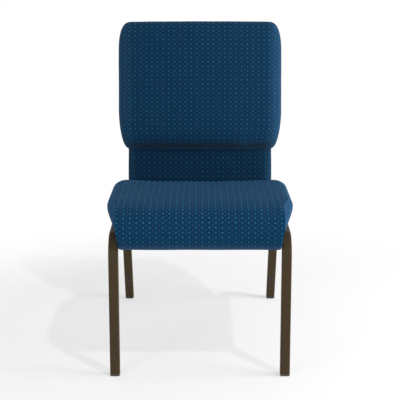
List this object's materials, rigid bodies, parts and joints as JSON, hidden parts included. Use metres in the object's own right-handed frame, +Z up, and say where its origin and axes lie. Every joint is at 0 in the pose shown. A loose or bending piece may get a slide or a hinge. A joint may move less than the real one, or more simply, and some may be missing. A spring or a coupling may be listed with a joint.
{
  "type": "stacking visitor chair",
  "caption": "Armless upholstered stacking chair with a waterfall seat, a narrow-necked padded back and bent square-tube steel side frames on plastic glides.",
  "frame": {"origin": "on the floor, on the mid-plane, halfway between the front of the seat and the rear edge of the back feet", "axes": "+Z up, the sitter faces -Y, +X to the right of someone looking at the chair from the front"},
  "size_m": [0.474, 0.6415, 0.8707],
  "materials": {
    "frame_paint": "dark bronze powder coat",
    "blue_fabric": "woven upholstery with a fine dot pattern",
    "foam": "open-cell foam",
    "plywood": "raw plywood",
    "hardboard": "raw hardboard",
    "dust_cloth": "black non-woven cloth",
    "grey_plastic": "moulded",
    "bumper_rubber": "moulded",
    "black_zinc": "black zinc plated",
    "zinc": "zinc plated"
  },
  "bodies": {
    "root": {"left_side_frame": "frame_paint", "right_side_frame": "frame_paint", "front_cross_tube": "frame_paint", "rear_cross_tube": "frame_paint", "seat_tabs": "frame_paint", "back_hoop": "frame_paint", "seat_cover": "blue_fabric", "back_cover": "blue_fabric", "seat_foam": "foam", "back_foam": "foam", "back_rear_foam": "foam", "seat_board": "plywood", "back_board": "plywood", "back_rear_panel": "hardboard", "seat_dust_cover": "dust_cloth", "front_left_glide": "grey_plastic", "front_right_glide": "grey_plastic", "rear_left_glide": "grey_plastic", "rear_right_glide": "grey_plastic", "stacking_bumpers": "bumper_rubber", "rear_leg_inserts": "black_zinc", "seat_tee_nuts": "zinc", "seat_washers": "zinc", "seat_front_bolts": "zinc", "seat_rear_bolts": "zinc", "back_board_screws": "zinc", "back_panel_screws": "zinc"}
  },
  "joints": []
}
